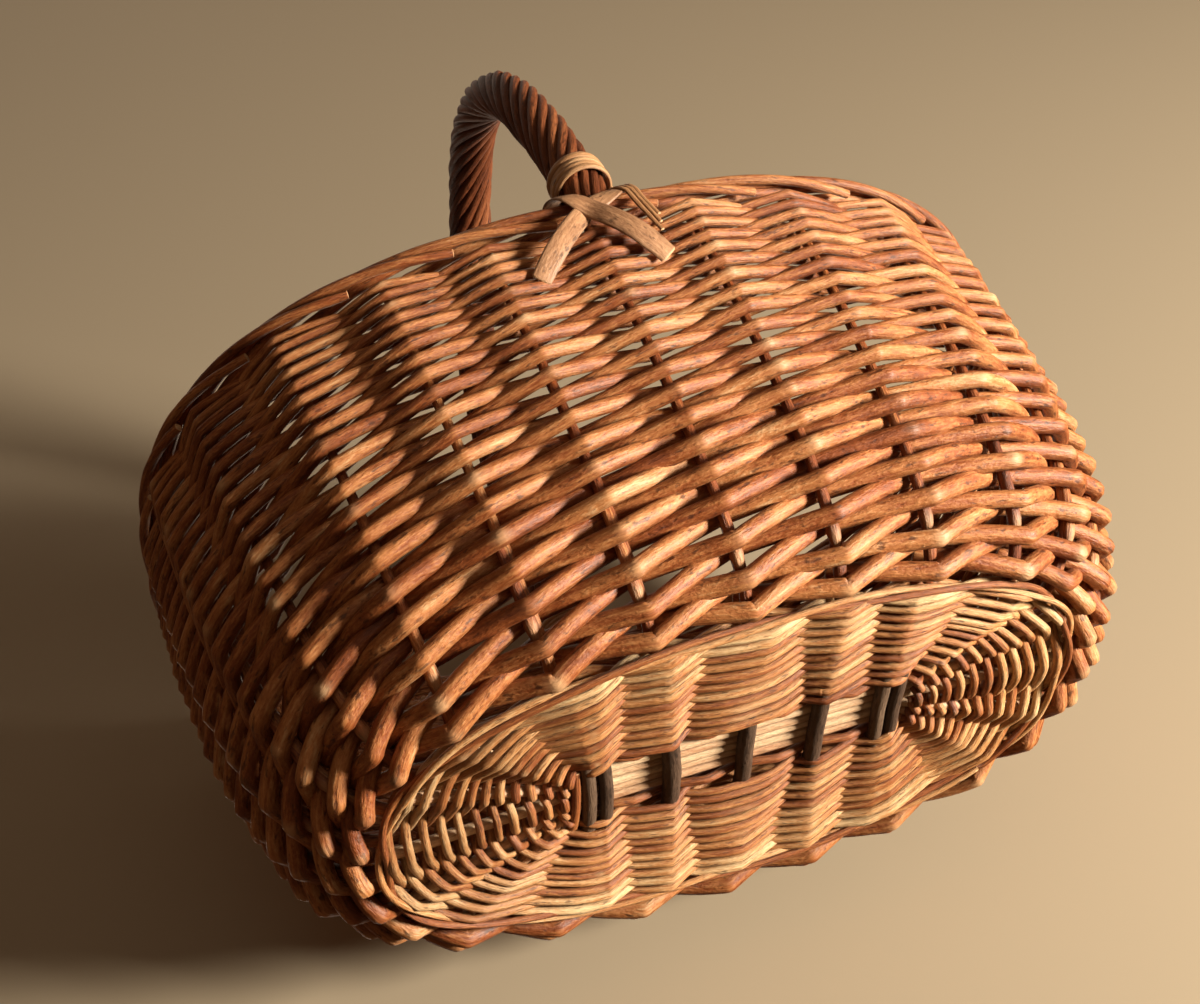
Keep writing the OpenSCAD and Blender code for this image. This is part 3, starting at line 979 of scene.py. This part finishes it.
place_piece("upsett_rods", weave_wall(rows_between(0, BAND_TOPS[0])), "siding_weavers", ["upsett"])
for k in range(1, 5):
    top = BAND_TOPS[k] if k < 4 else 1.0
    place_piece(f"siding_rods_{k}", weave_wall(rows_between(BAND_TOPS[k - 1], top)),
                "siding_weavers", [f"siding_band_{k}"])
place_piece("stake_rods", stakes(), "stakes", [f"stake_{i}" for i in range(1, STAKES + 1)])
place_piece("base_weavers", base_weave(), "base_weavers", ["base_weave"])
place_piece("base_binders", binders(), "base_weavers", ["base_weave"])
place_piece("base_edge_rods", edge_rods(), "base_weavers", ["base_edge_rod"])
place_piece("short_base_sticks", short_sticks(), "bark_sticks",
            [f"short_stick_{i}" for i in range(1, 8)])
place_piece("long_base_sticks", long_sticks(), "pale_sticks",
            [f"long_stick_{i}" for i in range(1, LONG_COUNT + 1)])
place_piece("border_rods", border(), "border_rods", ["border"])
place_piece("handle_core_rod", handle_core(), "handle_rods", ["handle_core"])
place_piece("handle_strands", handle_roping(), "handle_rods", ["handle_roping"])
for foot, side in (("front", -1), ("rear", 1)):
    place_piece(f"collar_skein_{foot}", collar(side), "skein", [f"collar_{foot}"])
    place_piece(f"collar_ends_{foot}", cross_band_ends(side), "skein", [f"collar_{foot}"])
    for hand, lean in (("left", -1), ("right", 1)):
        place_piece(f"split_band_{foot}_{hand}", cross_band(side, lean), "split_bands",
                    [f"cross_band_{foot}_{hand}"])


# ------------------------------------------------------------------ stage
FLOOR_TILT = math.radians(9)    # the wall's flare: the basket rests on rim and belly
FLOOR_UP = Vector((0, -math.cos(FLOOR_TILT), math.sin(FLOOR_TILT)))


def floor_distance():
    """Lowest point of the shown basket along the floor's normal, in metres."""
    lowest = 1e9
    for o in bpy.context.scene.objects:
        if o.type == "MESH" and o.name not in frame["nodes"]:
            points = np.empty(len(o.data.vertices) * 3)
            o.data.vertices.foreach_get("co", points)
            lowest = min(lowest, float((points.reshape(-1, 3) @ np.array(FLOOR_UP)).min()))
    return lowest


def floor_material():
    """Pale plain floor, shown from above only."""
    material = bpy.data.materials.new("floor_pale")
    material.use_nodes = True
    nodes, links = material.node_tree.nodes, material.node_tree.links
    shader = nodes["Principled BSDF"]
    shader.inputs["Base Color"].default_value = (0.36, 0.295, 0.205, 1)
    shader.inputs["Roughness"].default_value = 0.8
    clear = nodes.new("ShaderNodeBsdfTransparent")
    geometry = nodes.new("ShaderNodeNewGeometry")
    mix = nodes.new("ShaderNodeMixShader")
    links.new(geometry.outputs["Backfacing"], mix.inputs["Fac"])
    links.new(shader.outputs["BSDF"], mix.inputs[1])
    links.new(clear.outputs["BSDF"], mix.inputs[2])
    links.new(mix.outputs["Shader"], nodes["Material Output"].inputs["Surface"])
    return material


def add_floor():
    """A flat floor that touches the basket where it rests on rim and belly."""
    size = 6.0
    place = Matrix.Translation(FLOOR_UP * floor_distance())
    mesh = bpy.data.meshes.new("floor")
    corners = [(-size, -size, 0), (size, -size, 0), (size, size, 0), (-size, size, 0)]
    mesh.from_pydata(corners, [], [(0, 1, 2, 3)])
    mesh.materials.append(floor_material())
    floor = bpy.data.objects.new("floor", mesh)
    bpy.context.scene.collection.objects.link(floor)
    turn = FLOOR_UP.to_track_quat("Z", "Y")
    floor.matrix_world = place @ turn.to_matrix().to_4x4()
    floor.visible_shadow = False
    floor.visible_diffuse = False
    floor.visible_glossy = False


CAMERA_LENS = 60.5
CAMERA_AT = (-0.2467, -0.6719, -0.4615)
CAMERA_TURN = (134.85, 20.76, -0.65)


def add_camera():
    """A view from below the base, slightly to its left."""
    data = bpy.data.cameras.new("camera")
    data.sensor_width = 36
    data.lens = CAMERA_LENS
    data.clip_end = 50
    camera = bpy.data.objects.new("camera", data)
    camera.location = CAMERA_AT
    camera.rotation_euler = [math.radians(a) for a in CAMERA_TURN]
    bpy.context.scene.collection.objects.link(camera)
    bpy.context.scene.camera = camera
    return camera


BASKET_MIDDLE = (0, 0, 0.12)


def area_light(name, at, size, power, colour):
    """A soft round light, aimed at the middle of the basket."""
    data = bpy.data.lights.new(name, "AREA")
    data.shape = "DISK"
    data.size = size
    data.energy = power
    data.color = colour
    light = bpy.data.objects.new(name, data)
    light.location = at
    light.rotation_euler = (Vector(BASKET_MIDDLE) - Vector(at)).to_track_quat("-Z", "Y").to_euler()
    bpy.context.scene.collection.objects.link(light)


def beside_camera(camera, right, up, back, distance):
    """A place for a light, given in the camera's own directions from the basket."""
    way = camera.matrix_world.to_3x3() @ Vector((right, up, back))
    return Vector(BASKET_MIDDLE) + way.normalized() * distance


add_floor()
camera = add_camera()
bpy.context.view_layer.update()
area_light("key", beside_camera(camera, 0.88, 0.17, 0.43, 2.0), 0.56, 127, (1.0, 0.89, 0.74))
area_light("fill", beside_camera(camera, 0.1, 0.6, 0.8, 2.8), 2.2, 6, (1.0, 0.84, 0.66))
area_light("back", (0.3, 2.0, 1.2), 2.2, 18, (1.0, 0.84, 0.66))
area_light("top", (0.0, 0.2, 2.4), 2.0, 6, (1.0, 0.86, 0.7))

world = bpy.data.worlds.new("studio")
bpy.context.scene.world = world
world.use_nodes = True
world.node_tree.nodes["Background"].inputs["Color"].default_value = (0.95, 0.52, 0.26, 1)
world.node_tree.nodes["Background"].inputs["Strength"].default_value = 0.09

bpy.context.scene.view_settings.view_transform = "Standard"
